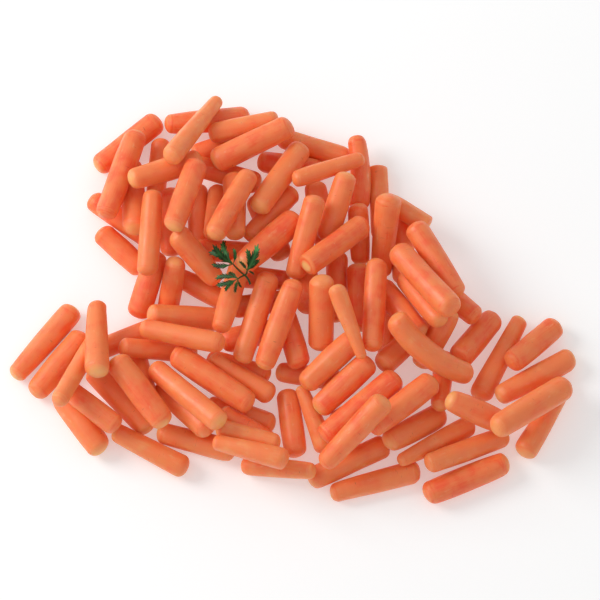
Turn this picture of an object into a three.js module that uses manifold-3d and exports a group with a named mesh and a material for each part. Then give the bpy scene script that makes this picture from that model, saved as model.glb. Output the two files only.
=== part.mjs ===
// A loose heap of small peeled carrots with a sprig of parsley lying on it.
// Millimetres, +Z up, +X right, -Y toward the front. The heap rests on z = 0 and the
// middle of its outline is at x = y = 0.

import * as THREE from 'three';
import { mergeVertices } from 'three/addons/utils/BufferGeometryUtils.js';
import Module from 'manifold-3d';

// Driving dimensions.
const CARROT_LENGTH = 52; // a usual carrot, tip to tip
const CARROT_GIRTH = 14; // its thickness
const HEAP_WIDTH = 340; // left to right
const HEAP_DEPTH = 250; // front to back
const REST_GAP = 0.35; // left between one carrot and the next where they rest
const PIN_WIDTH = 2.4; // the short pin that joins the two carrots of a pair
const SPRIG_SIZE = 36; // across the three leaves
const FROND_WIDTH = 2.6; // one lobe of a leaf
const FROND_THICKNESS = 1.1;
const STEM_WIDTH = 1.8;
const BRANCH_WIDTH = 1.4;
const FOOT_WIDTH = 2.4; // the knot that a leaf's lobes spread from
const LOBE_DROOP = 5; // how far a lobe's tip may hang below its foot

// The sizes that the rows below were laid out with.
const LAID_LENGTH = 52;
const LAID_GIRTH = 14;
const LAID_WIDTH = 340;
const LAID_DEPTH = 250;
const LAID_SPRIG = 36;

// The heap is laid out as someone in front of it sees it, looking down at this angle:
// a row's y is the place on the table that the carrot hides.
const LOOK_DOWN = THREE.MathUtils.degToRad(75);
const LEAN = 1 / Math.tan(LOOK_DOWN);

const SIDES = 8; // facets around a carrot
const ROD_SIDES = 6; // around a pin, the stem and its branches
const KNOB_SIDES = 8; // around a lobe and a foot
const KNOB_RINGS = 6;
const DOME = 0.8; // length of a rounded end, in end radii
const CUT_DOME = 0.3; // length of a flat cut end, in end radii
const DOME_FULLNESS = 2.4; // 2 is a round dome, more is blunter
const DOME_RINGS = [0.08, 0.4, 1]; // rings of a rounded end, as shares of its length
const STEEPEST = 0.9; // steepest rise of a carrot over its length
const RISE_STEP = 0.01; // how finely the rise is found
const FEW_BALLS = 11; // along a carrot while its place is sought
const ALL_BALLS = 41; // and where it comes to rest
const PLACE_PASSES = 7;
const CLEAR_PASSES = 8;
const ROLLS = [-3, -2, -1, 0, 1, 2, 3]; // sideways moves that a carrot tries before it rests
const TURNS = [-1.5, 0, 1.5]; // and how far its tips swing as it does
const ROLL_EFFORT = 0.9; // drop that a move must give for each of its millimetres
const TOUCHING = 4; // carrots nearer than this can be joined
const PIN_SPOTS = [0.3, 0.5, 0.7]; // where a pin is tried for room, as shares of its length
const MOST_GROUPS = 56;
const GROUP_NAMES = { 1: 'carrot', 2: 'carrot_pair', 3: 'carrot_trio' };

// One row per carrot, in the order they were tipped out: both tips (x, y), the thickness
// toward each tip, then, where there is one, the sideways bow and the tip that is cut flat.
const ON_THE_TABLE = [
  // left end
  [-167, -48, -131, -4.5, 13, 14.5],
  [-156.5, -58, -128.5, -18, 15.5, 15],
  [-139.5, -57, -113.5, -93.5, 15.5, 16],
  [-119, -32, -78, -15, 13, 13],
  [-121, -42, -85.5, -80.5, 14, 14],
  [-107, -79.5, -62.5, -103.5, 11, 14],
  // front
  [-82, -83, -35, -95.5, 13, 14.5],
  [-80, -52, -49.5, -81, 15, 15],
  [-52, -64, -11, -77, 13, 14],
  [-11, -44, 29, -50, 13, 13],
  [8.5, -111, 56, -88.5, 14, 14],
  [21.5, -119, 75, -104.5, 11.5, 14.5],
  [-6.5, -55.5, -0.5, -97, 13, 15],
  [1, -54, 17, -95, 8, 14],
  // right end
  [54, -88, 89, -69.5, 15, 15],
  [62, -99, 107, -76, 8, 15],
  [77, -120, 127.5, -99, 15.5, 15.5],
  [77.5, -99.5, 127.5, -84.5, 13, 13],
  [135.5, -96, 163, -50, 15.5, 10],
  [109.5, -61.5, 136, -11, 15.5, 10],
  [120.5, -60, 167, -35, 14, 14],
  [86, -67, 90, -33, 12, 12],
  [96.5, -38, 120.5, -9.5, 15, 15],
  // back
  [-119.5, 82, -81, 113, 14, 14],
  [-80, 101, -84, 58, 12, 12],
  [-78, 109.5, -26.5, 114, 14, 14],
  [-123, 63.5, -84, 36, 13, 13],
  [-117, 43.5, -90.5, 18, 14, 14],
  [-94, -11, -81, 30, 14.5, 14.5],
  [-72, 16, -36, -4, 13, 13],
  [-62, 92, -20, 103, 13.5, 13.5],
  [-10, 102, 33.5, 88, 13, 13],
  [50.5, 83.5, 52, 38, 11.5, 11.5, 0, 1],
  [35.5, 102.5, 40, 56, 12, 12.5, 2],
  // middle
  [-60, 84, -20, 72, 13, 13],
  [-22, 88, 18, 80, 14.5, 14.5],
  [38, 60, 40, 22, 13, 13],
  [62, 52, 63, 10, 13.5, 13.5],
  [-58, 72, -57, 27, 12.5, 12.5],
  [-75, 70, -74, 27, 14, 14],
  [-59, 31, -19, 29, 13, 13],
  [-27, 64, -9, 24, 14, 14],
  [12, 74, 20, 32, 14, 14],
  [28, 30, 27, -14, 13, 13],
  [57, 2, 55, -36, 11, 11],
  [-38, 21, -2, 13, 13, 13],
  [-38, -3, 4, 3, 13, 13],
  [-44, -26, -3, -17, 14, 14],
  [-52, -36, -14, -47, 12, 12],
  [0, 68, -28, 38, 13, 13],
  [-47.5, 71, -51, 38, 11.5, 11.5],
  [-36, 78, -35, 38, 14, 14],
  [73, 19.5, 110, -12, 13, 13],
  [51.5, -41, 80, -14, 14, 14],
  [2, 34, 6, -8, 14.5, 14.5],
  [16.5, 14, 16, -30, 15, 15],
  [35.5, 23, 37, -20, 14.5, 14.5],
  // low down, between the others
  [20, -75, 62, -47, 13, 13],
  [-91, -32, -84, -60, 12, 12],
  [-46, -72, -12, -88, 12, 12],
  [-46, -78, -8, -88, 11, 11],
];

const ON_THE_FIRST = [
  [-136, -53, -103.5, -78.5, 13, 13],
  [-103.5, -29, -58, -33, 11, 13],
  [-106.5, -34.5, -75.5, -77.5, 15, 15.5],
  [-77, -9, -71, 26, 13, 13],
  [-87, -7, -43, -10.5, 13, 14],
  [-84, -41, -42, -76, 13, 14],
  [-50, -35, -12, -60, 10, 14],
  [-73, -33, -23.5, -64, 14.5, 15.5],
  [-30.5, -97, 13, -103, 11.5, 11.5],
  [3, -51, 36, -20, 15, 15],
  [13, -68, 46, -36, 15, 15],
  [17, -85, 62, -46, 15, 15],
  [46, -81, 85, -50, 15, 15],
  [97, -7, 77, -43, 14, 14],
  [50, 10, 76, -22, 14.5, 14.5],
  [63, 14, 88, -14, 14, 14],
  [90, -60, 127, -77, 15, 15],
  [54.5, 62, 81, 45.5, 12, 12, 0, 2],
  [71, 47, 98, 2, 14, 14],
  [-6, -6, 4, -42, 13.5, 13.5],
  [-44, -20, -31, 26, 13, 13],
  [-71, 42, -45, 11, 14, 14],
  [-98, 86, -95, 42, 14, 14],
  [-84, 68, -87.5, 15, 13, 13],
  [-94, 105, -113, 51, 16, 13],
  [-98, 72, -55, 85, 14, 14],
  [-51.5, 103, -9, 112, 13, 13],
  [-49, 85, -1, 109, 15, 15],
];

const ON_TOP = [
  [-139, -63, -119, -25, 11, 11],
  [-117.5, -2, -116, -46, 12, 15.5],
  [-91, -16.5, -41, -27.5, 11, 14],
  [-46, -80, -2.5, -97, 9, 14],
  [-31.5, -39, -14, 17, 14, 14],
  [-18.5, -42.5, 1, 12.5, 14, 14],
  [17, -101, 54, -60, 14, 14],
  [117.5, -79, 163, -52, 15.5, 15.5],
  [127.5, -40, 158, -15, 14.5, 14.5],
  [60, -8, 105, -48, 15, 15, -6],
  [-74.5, 86, -45.5, 125.5, 14, 9],
  [-57.5, 86, -72, 42.5, 14.5, 14],
  [-26, 79, -48, 38, 13, 13.5],
  [3, 100, -22, 55, 14, 14],
  [0, 53.5, -34, 22.5, 16, 16],
  [-1, 74, 41.5, 88, 12, 9],
  [32, 79, 19, 36, 14, 14],
  [13, 64.5, 0, 13, 13, 13],
  [43, 47, 9, 18, 14, 14, 0, 2],
  [54.5, 65.5, 50, 15, 16, 12],
  [49.5, 25, 46, -31, 13.5, 13.5],
  [61, 31, 94, -7, 15, 15],
  [24, 9.5, 40.5, -36, 12.5, 7],
];

// The sprig: where its stem is cut, where the stem forks, and for each leaf its foot and
// the ends of its lobes, laid out like the carrots.
const STEM_CUT = [-26, 9.5];
const STEM_FORK = [-29, 15];
const LEAVES = {
  leaf_left: {
    foot: [-36, 22],
    lobes: [[-51, 29.5], [-48, 34], [-42, 37], [-36, 32], [-49, 22]],
  },
  leaf_right: {
    foot: [-28, 18],
    lobes: [[-32.5, 24], [-28, 31.5], [-21, 34.5], [-20, 29.5], [-20, 25], [-23.5, 15.5]],
  },
  leaf_front: {
    foot: [-33, 13],
    lobes: [[-39, 17], [-47, 13], [-46.5, 9], [-41, 5], [-35, 4], [-31, 7.5]],
  },
};

const LOBE_STEP = 0.05; // between the spots where a lobe is held clear, as a share of it

const CARROT_TINTS = ['#e8764a', '#ea8250', '#e36c3f', '#ee8f58'];
const CARROT_ROUGHNESS = 0.45;
const LEAF_COLOUR = '#2f5a2c';
const STEM_COLOUR = '#3d6b33';
const GREEN_ROUGHNESS = 0.6;

const wasm = await Module();
wasm.setup();

// A carrot as its row gives it, still level on the table.
function layCarrot([x1, y1, x2, y2, girth1, girth2, bow = 0, cutTip = 0]) {
  const middle = new THREE.Vector2(
    (x1 + x2) / 2 * HEAP_WIDTH / LAID_WIDTH,
    (y1 + y2) / 2 * HEAP_DEPTH / LAID_DEPTH,
  );
  const half = new THREE.Vector2(x2 - x1, y2 - y1).multiplyScalar(CARROT_LENGTH / LAID_LENGTH / 2);
  const radius1 = girth1 / 2 * CARROT_GIRTH / LAID_GIRTH;
  const radius2 = girth2 / 2 * CARROT_GIRTH / LAID_GIRTH;
  return {
    start: middle.clone().sub(half),
    end: middle.clone().add(half),
    side: new THREE.Vector2(-half.y, half.x).normalize(),
    length: 2 * half.length(),
    bow,
    radius1,
    radius2,
    dome1: radius1 * (cutTip === 1 ? CUT_DOME : DOME),
    dome2: radius2 * (cutTip === 2 ? CUT_DOME : DOME),
    height: 0,
    rise: 0,
    seenHeight: 0,
    seenRise: 0,
  };
}

// The point of the middle line at a share of the length, with the thickness there.
function pointAlong(carrot, share) {
  const flat = carrot.start.clone().lerp(carrot.end, share);
  flat.addScaledVector(carrot.side, carrot.bow * 4 * share * (1 - share));
  return {
    x: flat.x,
    y: flat.y - LEAN * (carrot.seenHeight + carrot.seenRise * (share - 0.5)),
    z: carrot.height + carrot.rise * (share - 0.5),
    r: THREE.MathUtils.lerp(carrot.radius1, carrot.radius2, share),
    share,
  };
}

// Balls strung along a carrot's middle line, which fill it from dome to dome.
function ballsOf(carrot, count) {
  const first = carrot.dome1 / carrot.length;
  const last = 1 - carrot.dome2 / carrot.length;
  return Array.from({ length: count }, (_, i) => (
    pointAlong(carrot, THREE.MathUtils.lerp(first, last, i / (count - 1)))
  ));
}

// The lowest height at which a ball rests on the table or on the carrots in the heap.
function restingHeight(ball, heap) {
  let height = ball.r;
  for (const other of heap) {
    if (Math.hypot(ball.x - other.middle.x, ball.y - other.middle.y) > other.reach + ball.r) continue;
    for (const under of other.balls) {
      const reach = ball.r + under.r + REST_GAP;
      const away = (ball.x - under.x) ** 2 + (ball.y - under.y) ** 2;
      if (away < reach * reach) height = Math.max(height, under.z + Math.sqrt(reach * reach - away));
    }
  }
  return height;
}

// Lowers a carrot, where it is, until something holds it on both sides of its middle.
function lower(carrot, heap, count) {
  const needs = ballsOf(carrot, count).map((ball) => (
    { share: ball.share - 0.5, height: restingHeight(ball, heap) }
  ));
  const middleHeight = (rise) => Math.max(...needs.map((need) => need.height - rise * need.share));
  let high = STEEPEST * carrot.start.distanceTo(carrot.end);
  let low = -high;
  while (high - low > RISE_STEP) {
    const third = (high - low) / 3;
    if (middleHeight(low + third) < middleHeight(high - third)) high -= third;
    else low += third;
  }
  carrot.rise = (low + high) / 2;
  carrot.height = middleHeight(carrot.rise);
  carrot.length = placeOf(pointAlong(carrot, 0)).distanceTo(placeOf(pointAlong(carrot, 1)));
}

// The higher a carrot comes to lie, the further forward it is for the same line of sight.
function findPlace(carrot, heap) {
  for (let pass = 0; pass < PLACE_PASSES; pass += 1) {
    lower(carrot, heap, FEW_BALLS);
    carrot.seenHeight += (carrot.height - carrot.seenHeight) / 2;
    carrot.seenRise += (carrot.rise - carrot.seenRise) / 2;
  }
  lower(carrot, heap, ALL_BALLS);
}

// A carrot that could lie lower a little to one side rolls there before it rests.
function settle(carrot, heap) {
  let best = Infinity;
  let rest = null;
  for (const turn of TURNS) {
    for (const roll of ROLLS) {
      const tried = { ...carrot };
      tried.start = carrot.start.clone().addScaledVector(carrot.side, roll + turn);
      tried.end = carrot.end.clone().addScaledVector(carrot.side, roll - turn);
      findPlace(tried, heap);
      const effort = tried.height + ROLL_EFFORT * (Math.abs(roll) + Math.abs(turn));
      if (effort < best) {
        best = effort;
        rest = tried;
      }
    }
  }
  rest.balls = ballsOf(rest, ALL_BALLS);
  rest.middle = pointAlong(rest, 0.5);
  rest.reach = rest.length / 2 + Math.max(rest.radius1, rest.radius2) + Math.abs(rest.bow);
  return rest;
}

function buildHeap() {
  const heap = [];
  for (const row of [...ON_THE_TABLE, ...ON_THE_FIRST, ...ON_TOP]) {
    heap.push(settle(layCarrot(row), heap));
  }
  return heap;
}

// The nearest points of two carrots' middle lines, and the space between the carrots there.
function nearest(one, other) {
  let best = { space: Infinity };
  for (const a of one.balls) {
    for (const b of other.balls) {
      const space = Math.hypot(a.x - b.x, a.y - b.y, a.z - b.z) - a.r - b.r;
      if (space < best.space) best = { space, from: a, to: b };
    }
  }
  return best;
}

// Whether a pin between two carrots keeps clear of all the others.
function pinIsClear({ from, to }, others) {
  const spots = PIN_SPOTS.map((share) => placeOf(from).lerp(placeOf(to), share));
  return others.every((other) => other.balls.every((ball) => (
    spots.every((spot) => spot.distanceTo(placeOf(ball)) > ball.r + PIN_WIDTH / 2 + REST_GAP)
  )));
}

function neighboursOf(heap) {
  const neighbours = heap.map(() => []);
  heap.forEach((one, i) => {
    for (let j = i + 1; j < heap.length; j += 1) {
      const touch = nearest(one, heap[j]);
      const others = heap.filter((other) => other !== one && other !== heap[j]);
      if (touch.space < TOUCHING && pinIsClear(touch, others)) {
        neighbours[i].push({ index: j, ...touch });
        neighbours[j].push({ index: i, ...touch });
      }
    }
  });
  return neighbours;
}

// Carrots that rest on each other go two by two, those with the least choice first. While
// there are too many groups, a carrot left alone joins a pair that it touches.
function groupUp(heap) {
  const neighbours = neighboursOf(heap);
  const free = new Set(heap.keys());
  const choice = (i) => neighbours[i].filter((next) => free.has(next.index)).length;
  const groups = [];
  while (free.size > 0) {
    const [first] = [...free].sort((a, b) => choice(a) - choice(b) || a - b);
    free.delete(first);
    const [mate] = neighbours[first]
      .filter((next) => free.has(next.index))
      .sort((a, b) => choice(a.index) - choice(b.index) || a.space - b.space);
    if (mate) free.delete(mate.index);
    groups.push(mate ? { members: [first, mate.index], pins: [mate] } : { members: [first], pins: [] });
  }
  for (const alone of groups.filter((group) => group.members.length === 1)) {
    if (groups.length <= MOST_GROUPS) break;
    for (const next of neighbours[alone.members[0]]) {
      const pair = groups.find((group) => (
        group.members.length === 2 && group.members.includes(next.index)
      ));
      if (pair) {
        pair.members.push(...alone.members);
        pair.pins.push(next);
        groups.splice(groups.indexOf(alone), 1);
        break;
      }
    }
  }
  return groups.sort((a, b) => Math.min(...a.members) - Math.min(...b.members));
}

// A round dome's share of the full radius, this share of the way in from the tip.
function domeRadius(share) {
  return (1 - (1 - share) ** DOME_FULLNESS) ** (1 / DOME_FULLNESS);
}

function carrotProfile(carrot) {
  const { length, dome1, dome2, radius1, radius2 } = carrot;
  const radiusAt = (along) => THREE.MathUtils.lerp(radius1, radius2, along / length);
  const tip1 = DOME_RINGS.map((share) => (
    new THREE.Vector2(radiusAt(share * dome1) * domeRadius(share), share * dome1)
  ));
  const tip2 = DOME_RINGS.toReversed().map((share) => (
    new THREE.Vector2(radiusAt(length - share * dome2) * domeRadius(share), length - share * dome2)
  ));
  const middle = new THREE.Vector2(radiusAt(length / 2), length / 2);
  return [new THREE.Vector2(0, 0), ...tip1, middle, ...tip2, new THREE.Vector2(0, length)];
}

// A straight turned carrot along +Y, moved ring by ring onto its bowed and tilted place.
function carrotGeometry(carrot) {
  const geometry = new THREE.LatheGeometry(carrotProfile(carrot), SIDES);
  const position = geometry.getAttribute('position');
  const vertex = new THREE.Vector3();
  for (let i = 0; i < position.count; i += 1) {
    vertex.fromBufferAttribute(position, i);
    const share = vertex.y / carrot.length;
    const centre = placeOf(pointAlong(carrot, share));
    const ahead = placeOf(pointAlong(carrot, share + 0.01));
    const along = ahead.sub(placeOf(pointAlong(carrot, share - 0.01))).normalize();
    const side = new THREE.Vector3(-along.y, along.x, 0).normalize();
    const up = along.clone().cross(side);
    centre.addScaledVector(side, vertex.x).addScaledVector(up, -vertex.z);
    position.setXYZ(i, centre.x, centre.y, centre.z);
  }
  return geometry;
}

function placeOf(point) {
  return new THREE.Vector3(point.x, point.y, point.z);
}

// A straight piece from one point to another, from a geometry that stands along +Y.
function between(geometry, from, to) {
  const along = to.clone().sub(from);
  const turn = new THREE.Quaternion().setFromUnitVectors(
    new THREE.Vector3(0, 1, 0),
    along.clone().normalize(),
  );
  return geometry.applyQuaternion(turn).translate(...from.clone().lerp(to, 0.5).toArray());
}

function rod(from, to, width) {
  const length = from.distanceTo(to);
  return between(new THREE.CylinderGeometry(width / 2, width / 2, length, ROD_SIDES), from, to);
}

function solidFrom(geometry) {
  const plain = geometry.clone().deleteAttribute('normal').deleteAttribute('uv');
  const welded = mergeVertices(plain, 1e-4);
  return new wasm.Manifold(new wasm.Mesh({
    numProp: 3,
    vertProperties: new Float32Array(welded.getAttribute('position').array),
    triVerts: new Uint32Array(welded.getIndex().array),
  }));
}

function geometryFrom(solid) {
  const mesh = solid.getMesh();
  const geometry = new THREE.BufferGeometry();
  geometry.setAttribute('position', new THREE.BufferAttribute(mesh.vertProperties, mesh.numProp));
  geometry.setIndex(new THREE.BufferAttribute(mesh.triVerts, 1));
  return geometry;
}

function joined(geometries) {
  return geometryFrom(wasm.Manifold.union(geometries.map(solidFrom)));
}

function namedMesh(name, geometry, colour, roughness) {
  const material = new THREE.MeshStandardMaterial({ color: colour, roughness, metalness: 0 });
  geometry.computeVertexNormals();
  const mesh = new THREE.Mesh(geometry, material);
  mesh.name = name;
  return mesh;
}

function carrotMeshes(heap) {
  return groupUp(heap).map(({ members, pins }, index) => {
    const carrots = members.map((member) => carrotGeometry(heap[member]));
    const rods = pins.map(({ from, to }) => rod(placeOf(from), placeOf(to), PIN_WIDTH));
    const name = `${GROUP_NAMES[members.length]}_${String(index + 1).padStart(2, '0')}`;
    const tint = CARROT_TINTS[index % CARROT_TINTS.length];
    return namedMesh(name, joined([...carrots, ...rods]), tint, CARROT_ROUGHNESS);
  });
}

// The place above the carrots, at a given height, that hides a laid-out point of the sprig.
function sprigPoint([x, y], z) {
  const [middleX, middleY] = STEM_FORK;
  const scale = SPRIG_SIZE / LAID_SPRIG;
  return new THREE.Vector3(
    middleX * HEAP_WIDTH / LAID_WIDTH + (x - middleX) * scale,
    middleY * HEAP_DEPTH / LAID_DEPTH + (y - middleY) * scale - LEAN * z,
    z,
  );
}

// How high a laid-out point of the sprig has to be to clear the carrots under it.
function clearHeight(spot, heap) {
  let z = 0;
  for (let pass = 0; pass < CLEAR_PASSES; pass += 1) {
    const { x, y } = sprigPoint(spot, z);
    z = restingHeight({ x, y, r: FROND_WIDTH / 2 + REST_GAP }, heap);
  }
  return z;
}

// The height of a lobe's tip: it lies down from its foot as far as the carrots let it.
function tipHeight(foot, footHeight, tip, heap) {
  let height = footHeight - LOBE_DROOP;
  for (let share = 2 * LOBE_STEP; share <= 1; share += LOBE_STEP) {
    const spot = [0, 1].map((axis) => THREE.MathUtils.lerp(foot[axis], tip[axis], share));
    const need = clearHeight(spot, heap);
    height = Math.max(height, footHeight + (need - footHeight) / share);
  }
  return height;
}

function knob(place, width) {
  return new THREE.SphereGeometry(width / 2, KNOB_SIDES, KNOB_RINGS).translate(...place.toArray());
}

function lobe(foot, tip) {
  const length = foot.distanceTo(tip);
  const geometry = new THREE.SphereGeometry(1, KNOB_SIDES, KNOB_RINGS);
  geometry.rotateY(Math.PI / KNOB_SIDES);
  geometry.scale(FROND_WIDTH / 2, length / 2, FROND_THICKNESS / 2);
  const along = tip.clone().sub(foot).normalize();
  const side = new THREE.Vector3(-along.y, along.x, 0).normalize();
  const up = side.clone().cross(along).negate();
  const place = new THREE.Matrix4().makeBasis(side.negate(), along, up);
  place.setPosition(foot.clone().lerp(tip, 0.5));
  return geometry.applyMatrix4(place);
}

function sprigMeshes(heap) {
  const feet = Object.values(LEAVES).map((leaf) => leaf.foot);
  const spots = [STEM_FORK, ...feet, STEM_CUT];
  const level = Math.max(...spots.map((spot) => clearHeight(spot, heap)));
  const fork = sprigPoint(STEM_FORK, level);
  const branches = feet.map((foot) => {
    const end = sprigPoint(foot, level);
    end.lerp(fork, (FOOT_WIDTH / 2 + REST_GAP) / end.distanceTo(fork));
    return rod(fork, end, BRANCH_WIDTH);
  });
  const knot = knob(fork, STEM_WIDTH);
  const stem = rod(sprigPoint(STEM_CUT, level), fork, STEM_WIDTH);
  const leaves = Object.entries(LEAVES).map(([name, { foot, lobes }]) => {
    const footPoint = sprigPoint(foot, level);
    const tips = lobes.map((tip) => sprigPoint(tip, tipHeight(foot, level, tip, heap)));
    const shapes = [knob(footPoint, FOOT_WIDTH), ...tips.map((tip) => lobe(footPoint, tip))];
    return namedMesh(name, joined(shapes), LEAF_COLOUR, GREEN_ROUGHNESS);
  });
  const stalk = joined([stem, knot, ...branches]);
  return [namedMesh('sprig_stem', stalk, STEM_COLOUR, GREEN_ROUGHNESS), ...leaves];
}

function buildBunch() {
  const heap = buildHeap();
  const bunch = new THREE.Group();
  bunch.add(...carrotMeshes(heap), ...sprigMeshes(heap));
  const box = new THREE.Box3().setFromObject(bunch, true);
  const middle = box.getCenter(new THREE.Vector3());
  bunch.position.set(-middle.x, -middle.y, -box.min.z);
  return bunch;
}

export default buildBunch();
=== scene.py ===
"""A loose heap of small peeled carrots on a pale table, with a sprig of parsley lying on it.

Metres, +Z up, -Y toward the front. Each carrot is a copy of one turned blank, laid along
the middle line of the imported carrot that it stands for. Each leaf of the sprig is made of
copies of one toothed leaflet, one along each packed lobe.
"""
import math
import random

import bmesh
import bpy
import numpy as np
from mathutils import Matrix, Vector


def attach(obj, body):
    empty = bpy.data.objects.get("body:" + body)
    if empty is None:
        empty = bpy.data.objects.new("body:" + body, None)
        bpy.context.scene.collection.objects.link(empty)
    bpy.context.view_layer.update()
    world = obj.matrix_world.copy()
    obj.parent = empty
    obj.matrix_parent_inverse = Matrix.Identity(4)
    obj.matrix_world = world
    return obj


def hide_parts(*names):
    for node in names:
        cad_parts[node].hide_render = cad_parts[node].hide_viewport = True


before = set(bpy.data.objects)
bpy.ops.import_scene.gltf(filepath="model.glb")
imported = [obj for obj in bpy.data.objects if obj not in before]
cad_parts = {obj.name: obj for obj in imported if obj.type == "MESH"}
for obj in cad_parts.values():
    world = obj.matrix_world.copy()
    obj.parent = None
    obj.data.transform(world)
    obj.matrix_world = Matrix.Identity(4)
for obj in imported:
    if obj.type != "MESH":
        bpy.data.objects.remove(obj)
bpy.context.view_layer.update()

MM = 0.001

# The view: from the front, looking down.
LOOK_DOWN = math.radians(75)
CAMERA_AWAY = 3.0
CAMERA_LENS = 300
CAMERA_REACH = 100
LOOKED_AT = Vector((4.4 * MM, 2.4 * MM, 0))

# The light: an even white sky, and one soft lamp on the left, a little behind the heap.
SKY_STRENGTH = 0.59
LAMP_PLACE = Vector((-1.5, 0.55, 1.15))
LAMP_SIZE = 1.1
LAMP_POWER = 21

TABLE_RADIUS = 12
TABLE_SIDES = 64
TABLE_GREY = 0.80
TABLE_GLOW = 0.30  # lifts the table toward white

# The carrot blank: a dome from -1 to 0, the body from 0 to 1 and a dome from 1 to 2.
BLANK_SIDES = 28
BODY_STATIONS = 11
DOME_ANGLES = (15, 36, 56, 74)  # degrees from the tip to the body
DOME_FULLNESS = 2.4  # 2 is a round dome, more is blunter
BLANK_SEAM = 1e-4  # closes the seam where the turning starts and ends

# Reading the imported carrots.
PIN_CORNER = math.radians(35)  # only the corner around a joining pin is as deep as this
SAME_CORNER = 1e-6  # packed corners nearer than this are one
LEAST_SHELL = 28  # a shell with no more corners than this is left of a pin
RING_DEPTH = 0.9 * MM  # how far a packed ring's corners may lie from each other's level
CUT_DOME = 0.5  # a dome shorter than this share of its radius is a flat cut end
USUAL_DOME = 0.8  # a round end's length, in radii

# The carrots' own shapes. Depths are shares of the radius.
CARROT_SEED = 11
FLATS = (5, 6, 7)
FLAT_DEPTH = 0.012
FLAT_TWIST = 0.5  # how far the flats' wave shifts along the body, in radians
LUMP_DEPTH = 0.025
LUMP_SHARES = (0.3, 1.0)  # of that depth
LUMP_WAVES = (1, 2, 3)  # along the carrot
LUMP_SPINS = (-1, 0, 1, 2)  # around it, where 0 is an even swelling
SLANT = 0.16  # the most that a tip leans to one side
FULLER = 0.03  # how much the middle swells
SLIMMER_ENDS = (0.0, 0.04, 0.08, 0.13)  # how much less thick an end is than the middle
SLIMMING = 3.0  # 1 is a plain taper, more keeps it near the end
LEAST_HEIGHT = 0.05 * MM  # no corner lies nearer to the table

# The carrots' own looks. A tone of 0 is deep red and 1.1 is as pale as flesh gets.
USUAL_RADIUS = 7.0 * MM
SLIM_RADIUS = 4.0 * MM
USUAL_TONE = 0.38
SLIM_TONE = 0.3  # added for a slim carrot
TONE_SPREAD = 0.14
PALE_TIPS = (0.1, 0.25, 0.5, 0.9)  # how much of the pale core a tip shows
TIP_LENGTHS = (0.7, 1.0)  # how far down its dome a tip is pale
TIP_FADE = 1.5
CUT_FACE = 0.375  # where on its dome a flat cut's face begins
CUT_FADE = 0.25
CARROT_GRAIN = 400  # the most that a carrot's grain is shifted each way, in millimetres

# The sprig. The leaflet blank is 1 long, from its foot to its tip.
SPRIG_SEED = 5
PACKED_STEM_SIDES = 6
FOOT_AWAY = 1.55 * MM  # from a branch's end to the foot of its leaf
LEAST_LOBE = 5 * MM
RIB_WIDTH = 0.10
LEAFLET_STATIONS = 7
LEAFLET_BODY = 0.86  # the part that carries teeth
LEAFLET_END = ((0.08, 0.6), (0.06, 0.2))  # each step beyond it, and the width it keeps
LEAFLET_FOOT = (0.35, 0.5, 0.8)  # widths of the first stations, as shares of the rib's
FIRST_TOOTH = 2
TOOTH_REACH = 0.085  # the longest tooth, sideways
TOOTH_LEAN = 1.9  # how far it points forward for its reach
TOOTH_NARROWING = (0.95, 0.25)
LEAST_TOOTH = 0.45  # as a share of the longest
SECOND_TOOTH = 0.72  # every second tooth reaches only this share
LONGEST_LOW = 0.8  # less than 1 puts the longest teeth nearer the foot
LEAFLET_THICKNESS = 0.028
LEAFLET_ROLL = 0.45  # radians around its rib
LEAFLET_CUP = (0.4, 1.3)  # how much its sides rise
LEAFLET_ARCH = (0.02, 0.09)  # how high its middle rises
LEAFLET_BEND = 0.1
LEAF_GRAIN = 90  # the most that a leaflet's grain is shifted each way, in millimetres
STEM_RADIUS = 0.62 * MM
STEM_CUT_SHARE = 1.1  # of that radius, where the stem is cut
STEM_FORK_SHARE = 0.85  # where it forks
BRANCH_START_SHARE = 0.8  # where a branch leaves it
BRANCH_RADIUS = 0.42 * MM  # where it meets its leaf
STEM_BOW = 0.5 * MM
BRANCH_BOWS = (0.3 * MM, -0.4 * MM, 0.4 * MM)  # toward the front, left and right leaf
STEM_SIDES = 12
STEM_STEPS = 8
STEM_VOXEL = 0.13 * MM


def select_none():
    if bpy.context.object and bpy.context.object.mode != "OBJECT":
        bpy.ops.object.mode_set(mode="OBJECT")
    bpy.ops.object.select_all(action="DESELECT")


def smooth(obj):
    for face in obj.data.polygons:
        face.use_smooth = True


def coordinates(mesh):
    found = np.empty(len(mesh.vertices) * 3)
    mesh.vertices.foreach_get("co", found)
    return found.reshape(-1, 3)


def write_attribute(mesh, name, values):
    kind = "FLOAT_VECTOR" if values.ndim == 2 else "FLOAT"
    key = "vector" if values.ndim == 2 else "value"
    made = mesh.attributes.new(name, kind, "POINT")
    made.data.foreach_set(key, values.astype(np.float32).ravel())


def unit(vector):
    return vector / np.linalg.norm(vector)


# ---------------------------------------------------------------- camera, light and table

def add_camera():
    away = Vector((0, -math.cos(LOOK_DOWN), math.sin(LOOK_DOWN))) * CAMERA_AWAY
    bpy.ops.object.camera_add(location=LOOKED_AT + away)
    camera = bpy.context.object
    camera.rotation_euler = (-away).to_track_quat("-Z", "Y").to_euler()
    camera.data.lens = CAMERA_LENS
    camera.data.clip_end = CAMERA_REACH
    bpy.context.scene.camera = camera


def add_lamp():
    """A soft round lamp that faces the heap."""
    bpy.ops.object.light_add(type="AREA", location=LAMP_PLACE)
    lamp = bpy.context.object
    lamp.rotation_euler = (-LAMP_PLACE).to_track_quat("-Z", "Y").to_euler()
    lamp.data.shape = "DISK"
    lamp.data.size = LAMP_SIZE
    lamp.data.energy = LAMP_POWER


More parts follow.
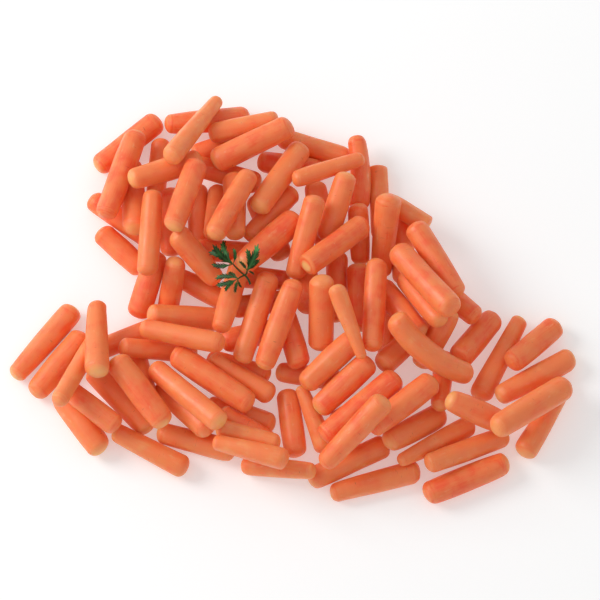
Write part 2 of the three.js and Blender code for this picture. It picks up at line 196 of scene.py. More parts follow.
def add_lights():
    world = bpy.data.worlds.new("studio")
    world.use_nodes = True
    sky = world.node_tree.nodes["Background"]
    sky.inputs["Color"].default_value = (1, 1, 1, 1)
    sky.inputs["Strength"].default_value = SKY_STRENGTH
    bpy.context.scene.world = world
    add_lamp()
    bpy.context.scene.view_settings.view_transform = "Standard"
    bpy.context.scene.view_settings.look = "None"


def add_table():
    select_none()
    bpy.ops.mesh.primitive_circle_add(
        vertices=TABLE_SIDES, radius=TABLE_RADIUS, fill_type="NGON"
    )
    table = bpy.context.object
    table.name = "table"
    material = bpy.data.materials.new("pale_table")
    material.use_nodes = True
    shader = material.node_tree.nodes["Principled BSDF"]
    shader.inputs["Base Color"].default_value = (TABLE_GREY, TABLE_GREY, TABLE_GREY, 1)
    shader.inputs["Roughness"].default_value = 0.6
    shader.inputs["Specular IOR Level"].default_value = 0.2
    shader.inputs["Emission Color"].default_value = (1, 1, 1, 1)
    shader.inputs["Emission Strength"].default_value = TABLE_GLOW
    table.data.materials.append(material)


# ---------------------------------------------------------------- materials

class Nodes:
    """Short ways to add nodes to one tree and to link them."""

    # Sockets of a mix node that mixes colours.
    MIX_SHARE, MIX_FIRST, MIX_SECOND, MIX_RESULT = 0, 6, 7, 2

    def __init__(self, tree):
        self.tree = tree

    def add(self, kind, **settings):
        node = self.tree.nodes.new(kind)
        for name, value in settings.items():
            setattr(node, name, value)
        return node

    def link(self, value, socket):
        if isinstance(value, bpy.types.NodeSocket):
            self.tree.links.new(value, socket)
        else:
            socket.default_value = value

    def math(self, operation, first, second):
        node = self.add("ShaderNodeMath", operation=operation)
        self.link(first, node.inputs[0])
        self.link(second, node.inputs[1])
        return node.outputs[0]

    def total(self, first, second):
        return self.math("ADD", first, second)

    def product(self, first, second):
        return self.math("MULTIPLY", first, second)

    def noise(self, vector, scale, detail=2.0, rough=0.5):
        node = self.add("ShaderNodeTexNoise")
        self.link(vector, node.inputs["Vector"])
        node.inputs["Scale"].default_value = scale
        node.inputs["Detail"].default_value = detail
        node.inputs["Roughness"].default_value = rough
        return node.outputs["Fac"]

    def stretched(self, vector, scale):
        """The vector times a scale of its own along each axis."""
        node = self.add("ShaderNodeVectorMath", operation="MULTIPLY")
        self.link(vector, node.inputs[0])
        self.link(scale, node.inputs[1])
        return node.outputs[0]

    def between(self, value, low, high):
        """A mask that goes from 0 at low to 1 at high."""
        node = self.add("ShaderNodeMapRange", interpolation_type="SMOOTHSTEP")
        self.link(value, node.inputs["Value"])
        node.inputs["From Min"].default_value = low
        node.inputs["From Max"].default_value = high
        return node.outputs["Result"]

    def range(self, value, low, high):
        """A number that goes from low to high as the value goes from 0 to 1."""
        node = self.add("ShaderNodeMapRange")
        self.link(value, node.inputs["Value"])
        node.inputs["To Min"].default_value = low
        node.inputs["To Max"].default_value = high
        return node.outputs["Result"]

    def mix(self, share, first, second):
        node = self.add("ShaderNodeMix", data_type="RGBA")
        self.link(share, node.inputs[self.MIX_SHARE])
        self.link(first, node.inputs[self.MIX_FIRST])
        self.link(second, node.inputs[self.MIX_SECOND])
        return node.outputs[self.MIX_RESULT]

    def attribute(self, name, output="Fac"):
        return self.add("ShaderNodeAttribute", attribute_name=name).outputs[output]


def new_group(name, inputs, outputs):
    """An empty shader node group: its Nodes, what it is given and what it makes."""
    tree = bpy.data.node_groups.new(name, "ShaderNodeTree")
    for label, kind in inputs:
        tree.interface.new_socket(name=label, in_out="INPUT", socket_type=kind)
    for label, kind in outputs:
        tree.interface.new_socket(name=label, in_out="OUTPUT", socket_type=kind)
    nodes = Nodes(tree)
    return nodes, nodes.add("NodeGroupInput").outputs, nodes.add("NodeGroupOutput").inputs


def use_group(nodes, group, **values):
    node = nodes.add("ShaderNodeGroup", node_tree=group)
    for name, value in values.items():
        nodes.link(value, node.inputs[name])
    return node.outputs


def fibre_group():
    """Fine fibres and pores that run along +Z of the coordinates, which are in millimetres."""
    nodes, given, made = new_group(
        "plant_fibres",
        [("Place", "NodeSocketVector"), ("Length", "NodeSocketFloat")],
        [("Fibres", "NodeSocketFloat"), ("Clouds", "NodeSocketFloat")],
    )
    shrink = nodes.math("DIVIDE", 1.0, given["Length"])
    scale = nodes.add("ShaderNodeCombineXYZ")
    scale.inputs[0].default_value = 1.0
    scale.inputs[1].default_value = 1.0
    nodes.link(shrink, scale.inputs[2])
    drawn = nodes.stretched(given["Place"], scale.outputs[0])
    nodes.link(nodes.noise(drawn, scale=0.9, detail=4.0, rough=0.6), made["Fibres"])
    nodes.link(nodes.noise(given["Place"], scale=0.11), made["Clouds"])
    return nodes.tree


BUMP_STRENGTH = 0.5


def roughen(nodes, shader, height, depth):
    """Raises the surface a little where the height is more."""
    bump = nodes.add("ShaderNodeBump")
    bump.inputs["Strength"].default_value = BUMP_STRENGTH
    bump.inputs["Distance"].default_value = depth
    nodes.link(height, bump.inputs["Height"])
    nodes.link(bump.outputs[0], shader.inputs["Normal"])


FLESH = {
    "deep": (0.96, 0.120, 0.032, 1),
    "usual": (0.98, 0.255, 0.078, 1),
    "light": (0.99, 0.430, 0.165, 1),
    "core": (0.99, 0.560, 0.210, 1),
    "blush": (0.98, 0.560, 0.290, 1),
    "scar": (0.52, 0.095, 0.028, 1),
}

# How much the clouds and the fibres shift a tone, or a mask's edge.
CLOUD_TONES = (-0.45, 0.45)
FIBRE_TONES = (-0.22, 0.22)
UNEVEN_EDGE = (-0.15, 0.15)

# Each pair is where a mask starts and where it is full. A backward pair fades out.
LOW_SHADES = (0.0, 0.5)
HIGH_SHADES = (0.5, 1.1)
CORE_EDGE = (0.62, 0.3)
RING_INSIDE = (0.5, 0.64)
RING_OUTSIDE = (0.78, 0.64)
DRY_PATCHES = (0.6, 0.8)
SCARS = (0.70, 0.78)
SCARRED_AREAS = (0.5, 0.62)
WET_AREAS = (0.45, 0.62)

# How strongly each of them colours the flesh.
TIP_STRENGTH = 0.85
RING_STRENGTH = 0.6
DRY_STRENGTH = 0.45
SCAR_STRENGTH = 0.55

FLESH_ROUGHNESS = (0.38, 0.6)
DRY_ROUGHER = 0.12
WATER_FILM = (0.10, 0.55)
FIBRE_LENGTH = 9.0
FLESH_SCATTER = 5.0 * MM  # how far light travels inside the flesh

# How closely dry patches and scars repeat along each axis of the grain.
DRY_SPACING = (1, 1, 0.35)
SCAR_SPACING = (0.22, 0.22, 1.6)

# How deep the surface is worked, and what share of that each of its marks takes.
FLESH_RELIEF = 0.35 * MM
FIBRE_RELIEF = 0.55
FINE_RELIEF = 0.3
SCAR_RELIEF = 0.5


def flesh_tones(nodes, grain):
    """A tone for each carrot, clouded, with fibres along it."""
    shade = nodes.total(nodes.attribute("tone"), nodes.range(grain["Clouds"], *CLOUD_TONES))
    shade = nodes.total(shade, nodes.range(grain["Fibres"], *FIBRE_TONES))
    dark_half = nodes.mix(nodes.between(shade, *LOW_SHADES), FLESH["deep"], FLESH["usual"])
    return nodes.mix(nodes.between(shade, *HIGH_SHADES), dark_half, FLESH["light"])


def flesh_ends(nodes, grain, colour):
    """Tips show the paler core. On a flat cut it has a darker ring around it."""
    cut = nodes.attribute("cut")
    across = nodes.attribute("across")
    uneven = nodes.total(across, nodes.range(grain["Clouds"], *UNEVEN_EDGE))
    core = nodes.product(cut, nodes.between(uneven, *CORE_EDGE))
    inside = nodes.between(across, *RING_INSIDE)
    ring = nodes.product(cut, nodes.product(inside, nodes.between(across, *RING_OUTSIDE)))
    tip = nodes.product(nodes.attribute("tip"), TIP_STRENGTH)
    colour = nodes.mix(tip, colour, FLESH["core"])
    colour = nodes.mix(core, colour, FLESH["core"])
    return nodes.mix(nodes.product(ring, RING_STRENGTH), colour, FLESH["deep"])


def dry_patches(nodes, place):
    """Small dry patches, longer along the carrot than across it."""
    drawn = nodes.stretched(place, DRY_SPACING)
    return nodes.between(nodes.noise(drawn, scale=0.35, detail=3.0, rough=0.65), *DRY_PATCHES)


def root_scars(nodes, place):
    """Short scars across the carrot, where its side roots were."""
    drawn = nodes.stretched(place, SCAR_SPACING)
    scars = nodes.between(nodes.noise(drawn, scale=1.0, detail=1.0, rough=0.4), *SCARS)
    areas = nodes.between(nodes.noise(place, scale=0.2, detail=1.0), *SCARRED_AREAS)
    return nodes.product(scars, areas)


def flesh_material(fibres):
    material = bpy.data.materials.new("carrot_flesh_peeled")
    material.use_nodes = True
    nodes = Nodes(material.node_tree)
    shader = material.node_tree.nodes["Principled BSDF"]
    place = nodes.attribute("grain", "Vector")
    grain = use_group(nodes, fibres, Place=place, Length=FIBRE_LENGTH)
    dry = dry_patches(nodes, place)
    scar = root_scars(nodes, place)
    colour = flesh_ends(nodes, grain, flesh_tones(nodes, grain))
    colour = nodes.mix(nodes.product(dry, DRY_STRENGTH), colour, FLESH["blush"])
    colour = nodes.mix(nodes.product(scar, SCAR_STRENGTH), colour, FLESH["scar"])
    nodes.link(colour, shader.inputs["Base Color"])

    # Satin flesh with a film of water on parts of it.
    fine = nodes.noise(place, scale=2.6, detail=3.0, rough=0.6)
    wet = nodes.between(nodes.noise(place, scale=0.16), *WET_AREAS)
    satin = nodes.range(fine, *FLESH_ROUGHNESS)
    roughness = nodes.total(satin, nodes.product(dry, DRY_ROUGHER))
    nodes.link(roughness, shader.inputs["Roughness"])
    nodes.link(nodes.range(wet, *WATER_FILM), shader.inputs["Coat Weight"])
    shader.inputs["Coat Roughness"].default_value = 0.22
    shader.inputs["Coat IOR"].default_value = 1.33
    shader.inputs["Subsurface Weight"].default_value = 0.8
    shader.inputs["Subsurface Radius"].default_value = (1.0, 0.22, 0.08)
    shader.inputs["Subsurface Scale"].default_value = FLESH_SCATTER

    fibres_height = nodes.product(grain["Fibres"], FIBRE_RELIEF)
    height = nodes.total(fibres_height, nodes.product(fine, FINE_RELIEF))
    height = nodes.math("SUBTRACT", height, nodes.product(scar, SCAR_RELIEF))
    roughen(nodes, shader, height, FLESH_RELIEF)
    return material


GREENS = {
    "leaf_deep": (0.003, 0.016, 0.004, 1),
    "leaf_usual": (0.010, 0.066, 0.012, 1),
    "leaf_light": (0.065, 0.250, 0.070, 1),
    "stem_dark": (0.014, 0.050, 0.012, 1),
    "stem_light": (0.060, 0.150, 0.040, 1),
}
GREEN_CLOUDS = (-0.7, 1.7)
GREEN_FIBRES = (-0.35, 0.35)
LOW_GREENS = (0.15, 0.55)
HIGH_GREENS = (0.6, 0.95)
RIB_STRENGTH = 0.35
ROUGHNESS_SPREAD = 0.1
GREEN_SCATTER = 0.5 * MM
GREEN_RELIEF = 0.12 * MM


def green_material(name, fibres, dark, usual, light, length, roughness):
    material = bpy.data.materials.new(name)
    material.use_nodes = True
    nodes = Nodes(material.node_tree)
    shader = material.node_tree.nodes["Principled BSDF"]
    grain = use_group(nodes, fibres, Place=nodes.attribute("grain", "Vector"), Length=length)
    clouds = nodes.range(grain["Clouds"], *GREEN_CLOUDS)
    shade = nodes.total(clouds, nodes.range(grain["Fibres"], *GREEN_FIBRES))
    low = nodes.mix(nodes.between(shade, *LOW_GREENS), dark, usual)
    colour = nodes.mix(nodes.between(shade, *HIGH_GREENS), low, light)
    rib = nodes.product(nodes.attribute("rib"), RIB_STRENGTH)
    nodes.link(nodes.mix(rib, colour, light), shader.inputs["Base Color"])
    smoothest, roughest = roughness - ROUGHNESS_SPREAD, roughness + ROUGHNESS_SPREAD
    uneven = nodes.range(grain["Fibres"], smoothest, roughest)
    nodes.link(uneven, shader.inputs["Roughness"])
    shader.inputs["Specular IOR Level"].default_value = 0.2
    shader.inputs["Subsurface Weight"].default_value = 0.1
    shader.inputs["Subsurface Radius"].default_value = (0.4, 1.0, 0.2)
    shader.inputs["Subsurface Scale"].default_value = GREEN_SCATTER
    roughen(nodes, shader, grain["Fibres"], GREEN_RELIEF)
    return material


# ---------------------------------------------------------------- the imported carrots

def merged(node):
    """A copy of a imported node's mesh, with its faces joined at their corners."""
    mesh = bmesh.new()
    mesh.from_mesh(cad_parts[node].data)
    bmesh.ops.remove_doubles(mesh, verts=mesh.verts, dist=SAME_CORNER)
    return mesh


def shells_of(node):
    """The corners of each carrot in a node, without the pin that joins them."""
    mesh = merged(node)
    around_pin = {
        corner
        for edge in mesh.edges
        if edge.is_manifold and edge.calc_face_angle_signed() < -PIN_CORNER
        for corner in edge.verts
    }
    bmesh.ops.delete(mesh, geom=list(around_pin), context="VERTS")
    left = set(mesh.verts)
    shells = []
    while left:
        shell, waiting = set(), [left.pop()]
        while waiting:
            corner = waiting.pop()
            shell.add(corner)
            near = {edge.other_vert(corner) for edge in corner.link_edges} & left
            left -= near
            waiting += near
        if len(shell) > LEAST_SHELL:
            shells.append(np.array(sorted(tuple(corner.co) for corner in shell)))
    mesh.free()
    return sorted(shells, key=lambda shell: tuple(shell.mean(axis=0)))


def ring_circle(points):
    """The centre and radius of the circle through a ring's corners."""
    middle = points.mean(axis=0)
    _, _, axes = np.linalg.svd(points - middle)
    flat = (points - middle) @ axes[:2].T
    rows = np.column_stack([2 * flat, np.ones(len(flat))])
    (x, y, rest), *_ = np.linalg.lstsq(rows, (flat**2).sum(axis=1), rcond=None)
    return middle + x * axes[0] + y * axes[1], math.sqrt(rest + x * x + y * y)


def measure(shell):
    """Where a packed carrot lies: its ring centres, radii and dome lengths."""
    mean = shell.mean(axis=0)
    _, _, axes = np.linalg.svd(shell - mean)
    along = (shell - mean) @ axes[0]
    low, high = along.min(), along.max()
    quarter = (high - low) / 4
    levels = [np.abs(along - (low + high) / 2) < quarter]
    for side in (-1, 1):
        outward = side * along
        beyond = outward > max(side * low, side * high) - quarter
        nearest = outward[beyond].min()
        levels.append(beyond & (outward < nearest + RING_DEPTH))
    (middle, radius), (start, radius1), (end, radius2) = (
        ring_circle(shell[level]) for level in levels
    )
    domes = []
    for centre, other, size in ((start, middle, radius1), (end, middle, radius2)):
        reach = ((shell - centre) @ unit(centre - other)).max() / size
        domes.append(reach * size if reach < CUT_DOME else USUAL_DOME * size)
    return {"centres": (start, middle, end), "radii": (radius1, radius, radius2), "domes": domes}


# ---------------------------------------------------------------- carrots

def dome_radius(share):
    """A blunt dome's radius, this share of the way from its tip to the body."""
    return (1 - (1 - share) ** DOME_FULLNESS) ** (1 / DOME_FULLNESS)


def make_blank():
    """A straight carrot of radius 1 around +Z, turned from half of its outline."""
    select_none()
    dome = [1 - math.cos(math.radians(angle)) for angle in DOME_ANGLES]
    outline = [(0.0, -1.0)] + [(dome_radius(share), share - 1) for share in dome]
    outline += [(1.0, i / BODY_STATIONS) for i in range(BODY_STATIONS + 1)]
    outline += [(dome_radius(share), 2 - share) for share in reversed(dome)] + [(0.0, 2.0)]
    bpy.ops.mesh.primitive_plane_add(size=1)
    blank = bpy.context.object
    blank.name = "blank"
    bpy.ops.object.mode_set(mode="EDIT")
    bpy.ops.mesh.select_all(action="SELECT")
    bpy.ops.mesh.merge(type="CENTER")
    bpy.ops.transform.translate(value=(outline[0][0], 0, outline[0][1]))
    for (x1, z1), (x2, z2) in zip(outline, outline[1:]):
        bpy.ops.mesh.extrude_region_move(TRANSFORM_OT_translate={"value": (x2 - x1, 0, z2 - z1)})
    bpy.ops.mesh.select_all(action="SELECT")
    bpy.ops.mesh.spin(steps=BLANK_SIDES, angle=2 * math.pi, center=(0, 0, 0), axis=(0, 0, 1))
    bpy.ops.mesh.select_all(action="SELECT")
    bpy.ops.mesh.remove_doubles(threshold=BLANK_SEAM)
    bpy.ops.mesh.normals_make_consistent(inside=False)
    bpy.ops.object.mode_set(mode="OBJECT")
    finer = blank.modifiers.new("finer", "SUBSURF")
    finer.levels = finer.render_levels = 1
    bpy.ops.object.modifier_apply(modifier=finer.name)
    smooth(blank)
    return blank


def past_ends(height):
    """How far along the first and the last dome each height is, from 0 to 1 at its tip."""
    return np.clip(-height, 0, 1), np.clip(height - 1, 0, 1)


def line_of(carrot):
    """A function from a blank's height to the place, direction and radius on a carrot."""
    start, middle, end = carrot["centres"]
    radius1, _, radius2 = carrot["radii"]
    dome1, dome2 = carrot["domes"]
    bow = start + end - 2 * middle

    def at(height):
        inside = np.clip(height, 0, 1)[:, None]
        place = start + (end - start) * inside - 2 * bow * inside * (1 - inside)
        ahead = (end - start) - 2 * bow * (1 - 2 * inside)
        ahead /= np.linalg.norm(ahead, axis=1)[:, None]
        past_start, past_end = past_ends(height)
        past = past_end * dome2 - past_start * dome1
        return place + ahead * past[:, None], ahead, radius1 + (radius2 - radius1) * inside[:, 0]

    return at


def own_shape(turn, height, rng):
    """Flats left by peeling and soft lumps, as a share of the radius around and along."""
    flats = rng.choice(FLATS)
    phase = rng.uniform(0, 2 * math.pi)
    twist = rng.uniform(-FLAT_TWIST, FLAT_TWIST)
    shape = FLAT_DEPTH * np.cos(flats * turn + phase + twist * height)
    for waves in LUMP_WAVES:
        lean = rng.uniform(0, 2 * math.pi)
        spin = rng.choice(LUMP_SPINS)
        depth = LUMP_DEPTH * rng.uniform(*LUMP_SHARES) / waves
        shape += depth * np.cos(waves * math.pi * height + spin * turn + lean)
    return shape


def lay_carrot(blank, name, carrot, rng, looks):
    """A copy of the blank along a packed carrot, with a shape and grain of its own."""
    piece = bpy.data.objects.new(name, blank.data.copy())
    bpy.context.scene.collection.objects.link(piece)
    shape = coordinates(blank.data)
    turn = np.arctan2(shape[:, 1], shape[:, 0])
    width = np.hypot(shape[:, 0], shape[:, 1])
    height = shape[:, 2]
    place, ahead, radius = line_of(carrot)(height)
    side = np.cross(ahead, (0, 0, 1))
    side /= np.linalg.norm(side, axis=1)[:, None]
    up = np.cross(side, ahead)
    nearer = [np.clip(1 - height, 0, 1) ** SLIMMING, np.clip(height, 0, 1) ** SLIMMING]
    slimmer = sum(rng.choice(SLIMMER_ENDS) * near for near in nearer)
    reach = width * radius * (1 + FULLER - slimmer + own_shape(turn, height, rng))
    x = reach * np.cos(turn)
    y = reach * np.sin(turn)
    for past, end_radius in zip(past_ends(height), carrot["radii"][::2]):
        angle = rng.uniform(0, 2 * math.pi)
        aside = past**2 * rng.uniform(0, SLANT) * end_radius
        x += aside * math.cos(angle)
        y += aside * math.sin(angle)
    points = place + side * x[:, None] + up * y[:, None]
    points[:, 2] = np.maximum(points[:, 2], LEAST_HEIGHT)
    piece.data.vertices.foreach_set("co", points.ravel())

    length = np.linalg.norm(carrot["centres"][2] - carrot["centres"][0])
    grain = np.column_stack([x, y, height * length]) / MM
    grain += [rng.uniform(-CARROT_GRAIN, CARROT_GRAIN) for _ in range(3)]
    write_attribute(piece.data, "grain", grain)
    write_attribute(piece.data, "tone", np.full(len(height), looks["tone"]))
    write_attribute(piece.data, "across", width)
    mark_ends(piece, carrot, height, looks)
    piece.data.update()
    return piece


def mark_ends(piece, carrot, height, looks):
    """Writes down how pale the tips are and which ends are cut flat."""
    pale = np.zeros_like(height)
    flat = np.zeros_like(height)
    ends = zip(past_ends(height), carrot["domes"], carrot["radii"][::2])
    for (past, dome, radius), tip, spread in zip(ends, looks["tips"], looks["spread"]):
        near = np.clip((past - 1 + spread) / spread, 0, 1)
        pale += tip * near**TIP_FADE
        if dome < CUT_DOME * radius:
            flat += np.clip((past - CUT_FACE) / CUT_FADE, 0, 1)
    write_attribute(piece.data, "tip", pale)
    write_attribute(piece.data, "cut", flat)


def looks_of(carrot, rng):
    """A slim carrot is paler. Some tips show the pale core."""
    slim = (USUAL_RADIUS - min(carrot["radii"])) / (USUAL_RADIUS - SLIM_RADIUS)
    tips = [rng.choice(PALE_TIPS) for _ in carrot["domes"]]
    own_tone = rng.uniform(-TONE_SPREAD, TONE_SPREAD)
    return {
        "tone": USUAL_TONE + SLIM_TONE * np.clip(slim, 0, 1) + own_tone,
        "tips": tips,
        "spread": [rng.uniform(*TIP_LENGTHS) for _ in carrot["domes"]],
    }


def add_carrots(material):
    rng = random.Random(CARROT_SEED)
    blank = make_blank()
    count = 0
    for node in sorted(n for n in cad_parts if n.startswith("carrot")):
        for shell in shells_of(node):
            count += 1
            carrot = measure(shell)
            looks = looks_of(carrot, rng)
            piece = lay_carrot(blank, f"peeled_carrot_{count:03d}", carrot, rng, looks)
            finish_piece(piece, material, node)
    bpy.data.objects.remove(blank)


# ---------------------------------------------------------------- sprig

def edited_mesh():
    """The mesh that is in edit mode, with nothing selected."""
    mesh = bmesh.from_edit_mesh(bpy.context.object.data)
    for part in (*mesh.verts, *mesh.edges, *mesh.faces):
        part.select = False
    return mesh


def select_edge_near(place):
    """Selects the one edge whose middle is nearest to a place."""
    mesh = edited_mesh()
    found = min(mesh.edges, key=lambda e: ((e.verts[0].co + e.verts[1].co) / 2 - place).length)
    found.select = True
    for corner in found.verts:
        corner.select = True
    bmesh.update_edit_mesh(bpy.context.object.data)


def pull_out(step, narrowing, centre):
    """Extrudes what is selected and narrows it around its new middle."""
    bpy.ops.mesh.extrude_region_move(TRANSFORM_OT_translate={"value": step})
    bpy.ops.transform.resize(value=(narrowing,) * 3, center_override=centre)


def narrow_foot(pitch):
    """Narrows the strip toward its foot at the origin."""
    for station, share in enumerate(LEAFLET_FOOT):
        mesh = edited_mesh()
        for corner in mesh.verts:
            corner.select = abs(corner.co.y - station * pitch) < pitch / 4
        bmesh.update_edit_mesh(bpy.context.object.data)
        bpy.ops.transform.resize(value=(share, 1, 1), center_override=(0, station * pitch, 0))


def add_tooth(station, side, pitch):
    """Pulls a tooth out of the strip's side, halfway between two stations."""
    share = math.sin(math.pi * (station / LEAFLET_STATIONS) ** LONGEST_LOW)
    reach = TOOTH_REACH * (LEAST_TOOTH + (1 - LEAST_TOOTH) * share)
    if (station + side) % 2 == 0:
        reach *= SECOND_TOOTH
    step = Vector((side * reach / 2, TOOTH_LEAN * reach / 2, 0))
    centre = Vector((side * RIB_WIDTH / 2, (station + 0.5) * pitch, 0))
    select_edge_near(centre)
    for narrowing in TOOTH_NARROWING:
        centre += step
        pull_out(step, narrowing, centre)


def make_leaflet():
    """A flat toothed leaflet along +Y, with its foot at the origin."""
    select_none()
    bpy.ops.mesh.primitive_plane_add(size=1, location=(0, 0.5, 0))
    leaflet = bpy.context.object
    leaflet.name = "leaflet"
    bpy.ops.object.transform_apply(location=True)
    bpy.ops.object.mode_set(mode="EDIT")
    bpy.ops.mesh.select_all(action="SELECT")
    bpy.ops.transform.resize(value=(RIB_WIDTH, LEAFLET_BODY, 1), center_override=(0, 0, 0))
    pitch = LEAFLET_BODY / LEAFLET_STATIONS
    for i in range(1, LEAFLET_STATIONS):
        bpy.ops.mesh.select_all(action="SELECT")
        bpy.ops.mesh.bisect(plane_co=(0, i * pitch, 0), plane_no=(0, 1, 0))
    narrow_foot(pitch)
    end = LEAFLET_BODY
    select_edge_near(Vector((0, end, 0)))
    for step, narrowing in LEAFLET_END:
        end += step
        pull_out((0, step, 0), narrowing, (0, end, 0))
    for station in range(FIRST_TOOTH, LEAFLET_STATIONS):
        for side in (-1, 1):
            add_tooth(station, side, pitch)
    bpy.ops.mesh.select_all(action="SELECT")
    bpy.ops.mesh.normals_make_consistent(inside=False)
    bpy.ops.object.mode_set(mode="OBJECT")
    thicker = leaflet.modifiers.new("thicker", "SOLIDIFY")
    thicker.thickness = LEAFLET_THICKNESS
    thicker.offset = 0
    bpy.ops.object.modifier_apply(modifier=thicker.name)
    rounder = leaflet.modifiers.new("rounder", "SUBSURF")
    rounder.levels = rounder.render_levels = 2
    bpy.ops.object.modifier_apply(modifier=rounder.name)
    smooth(leaflet)
    return leaflet


def points_of(node):
    """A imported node's corners, and for each the corners next to it."""
    mesh = merged(node)
    mesh.verts.index_update()
    points = np.array([tuple(corner.co) for corner in mesh.verts])
    near = [
        [edge.other_vert(corner).index for edge in corner.link_edges] for corner in mesh.verts
    ]
    mesh.free()
    return points, near


def nearest_corners(points, targets, count):
    """The numbers of the points that lie nearest to any of the targets."""
    away = np.linalg.norm(points[:, None] - targets[None], axis=2).min(axis=1)
    return np.argsort(away)[:count]


def read_sprig(leaves):
    """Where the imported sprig's stem is cut, where it forks, and each leaf's foot."""
    stem, _ = points_of("sprig_stem")
    ends = {
        leaf: nearest_corners(stem, points_of(leaf)[0], PACKED_STEM_SIDES) for leaf in leaves
    }
    tips = {leaf: stem[found].mean(axis=0) for leaf, found in ends.items()}
    rest = np.delete(stem, np.concatenate(list(ends.values())), axis=0)
    away = np.linalg.norm(rest - np.mean(list(tips.values()), axis=0), axis=1)
    order = np.argsort(away)
    cut = rest[order[-PACKED_STEM_SIDES:]].mean(axis=0)
    fork = rest[order[:-PACKED_STEM_SIDES]].mean(axis=0)
    feet = {leaf: tip + unit(tip - fork) * FOOT_AWAY for leaf, tip in tips.items()}
    return cut, fork, feet


def lobe_tips(leaf, foot):
    """Where a packed leaf's lobes end: the corners that lie farther out than those around."""
    points, near = points_of(leaf)
    away = np.linalg.norm(points - foot, axis=1)
    return [
        points[i]
        for i in range(len(points))
        if away[i] > LEAST_LOBE and all(away[j] < away[i] for j in near[i])
    ]


def lay_leaflet(leaflet, foot, tip, rng):
    """A copy of the leaflet from foot to tip, a little curled and turned."""
    piece = bpy.data.objects.new("lobe", leaflet.data.copy())
    bpy.context.scene.collection.objects.link(piece)
    shape = coordinates(leaflet.data)
    length = np.linalg.norm(tip - foot)
    along = unit(tip - foot)
    level = unit(np.cross(along, (0, 0, 1)))
    upright = np.cross(level, along)
    roll = rng.uniform(-LEAFLET_ROLL, LEAFLET_ROLL)
    side = level * math.cos(roll) + upright * math.sin(roll)
    up = upright * math.cos(roll) - level * math.sin(roll)
    x, y, z = shape.T
    arch = 4 * y * (1 - y)
    raised = z + rng.uniform(*LEAFLET_CUP) * x**2 + rng.uniform(*LEAFLET_ARCH) * arch
    aside = x + rng.uniform(-LEAFLET_BEND, LEAFLET_BEND) * arch
    points = along * y[:, None] + side * aside[:, None] + up * raised[:, None]
    points = foot + length * points
    piece.data.vertices.foreach_set("co", points.ravel())
    grain = np.column_stack([x, z, y]) * length / MM
    grain += [rng.uniform(-LEAF_GRAIN, LEAF_GRAIN) for _ in range(3)]
    write_attribute(piece.data, "grain", grain)
    write_attribute(piece.data, "rib", np.clip(1 - np.abs(x) / (RIB_WIDTH / 3), 0, 1))
    return piece


def join_pieces(pieces, name):
    select_none()
    for piece in pieces:
        piece.select_set(True)
    bpy.context.view_layer.objects.active = pieces[0]
    if len(pieces) > 1:
        bpy.ops.object.join()
    pieces[0].name = name
    return pieces[0]


def grow_stalk(start, end, radius1, radius2, bow):
    """A round stalk from start to end, thinner toward its end and bowed to one side."""
    select_none()
    start, end = Vector(start), Vector(end)
    along = end - start
    turn = along.to_track_quat("Z", "Y").to_euler()
    bpy.ops.mesh.primitive_circle_add(
        vertices=STEM_SIDES, radius=radius1, fill_type="NGON", location=start, rotation=turn
    )
    stalk = bpy.context.object
    bpy.ops.object.transform_apply(location=True, rotation=True)
    bpy.ops.object.mode_set(mode="EDIT")
    bpy.ops.mesh.select_all(action="SELECT")
    sideways = along.cross(Vector((0, 0, 1))).normalized() * bow
    place, radius = start, radius1
    for i in range(1, STEM_STEPS + 1):
        share = i / STEM_STEPS
        next_place = start + along * i / STEM_STEPS + sideways * 4 * share * (1 - share)
        next_radius = radius1 + (radius2 - radius1) * i / STEM_STEPS
        pull_out(next_place - place, next_radius / radius, next_place)
        place, radius = next_place, next_radius
    bpy.ops.mesh.select_all(action="SELECT")
    bpy.ops.mesh.normals_make_consistent(inside=False)
    bpy.ops.object.mode_set(mode="OBJECT")
    return stalk


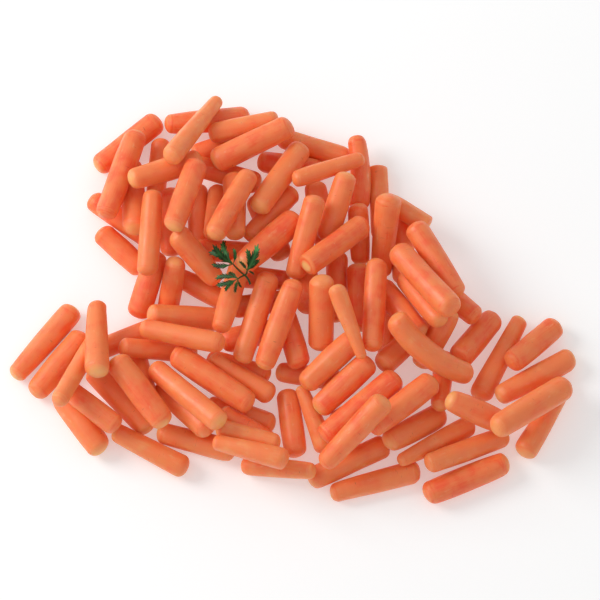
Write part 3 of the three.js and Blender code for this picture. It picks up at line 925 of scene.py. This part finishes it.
def add_sprig(leaf_material, stem_material):
    rng = random.Random(SPRIG_SEED)
    leaves = sorted(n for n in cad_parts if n.startswith("leaf"))
    cut, fork, feet = read_sprig(leaves)
    at_cut, at_fork = STEM_RADIUS * STEM_CUT_SHARE, STEM_RADIUS * STEM_FORK_SHARE
    stalks = [grow_stalk(cut, fork, at_cut, at_fork, STEM_BOW)]
    branch_start = STEM_RADIUS * BRANCH_START_SHARE
    for leaf, bow in zip(leaves, BRANCH_BOWS):
        stalks.append(grow_stalk(fork, feet[leaf], branch_start, BRANCH_RADIUS, bow))
    stem = join_pieces(stalks, "parsley_stalk")
    for kind, settings in (
        ("REMESH", {"mode": "VOXEL", "voxel_size": STEM_VOXEL, "use_smooth_shade": True}),
        ("SMOOTH", {"factor": 0.5, "iterations": 4}),
    ):
        modifier = stem.modifiers.new(kind.lower(), kind)
        for key, value in settings.items():
            setattr(modifier, key, value)
        bpy.ops.object.modifier_apply(modifier=modifier.name)
    smooth(stem)
    points = coordinates(stem.data)
    along = unit(fork - cut)
    side = unit(np.cross(along, (0, 0, 1)))
    grain = np.column_stack([points @ side, points[:, 2], points @ along]) / MM
    write_attribute(stem.data, "grain", grain)
    write_attribute(stem.data, "rib", np.zeros(len(points)))
    finish_piece(stem, stem_material, "sprig_stem")

    leaflet = make_leaflet()
    for leaf in leaves:
        foot = feet[leaf]
        lobes = [lay_leaflet(leaflet, foot, tip, rng) for tip in lobe_tips(leaf, foot)]
        piece = join_pieces(lobes, f"parsley_{leaf}")
        finish_piece(piece, leaf_material, leaf)
    bpy.data.objects.remove(leaflet)


def finish_piece(piece, material, node):
    piece.data.materials.clear()
    piece.data.materials.append(material)
    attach(piece, "root")
    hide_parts(node)


add_camera()
add_lights()
add_table()
plant_fibres = fibre_group()
add_carrots(flesh_material(plant_fibres))
leaf_green = green_material(
    "parsley_leaf_green",
    plant_fibres,
    GREENS["leaf_deep"],
    GREENS["leaf_usual"],
    GREENS["leaf_light"],
    length=4.0,
    roughness=0.45,
)
stem_green = green_material(
    "parsley_stem_green",
    plant_fibres,
    GREENS["stem_dark"],
    GREENS["stem_dark"],
    GREENS["stem_light"],
    length=12.0,
    roughness=0.4,
)
add_sprig(leaf_green, stem_green)
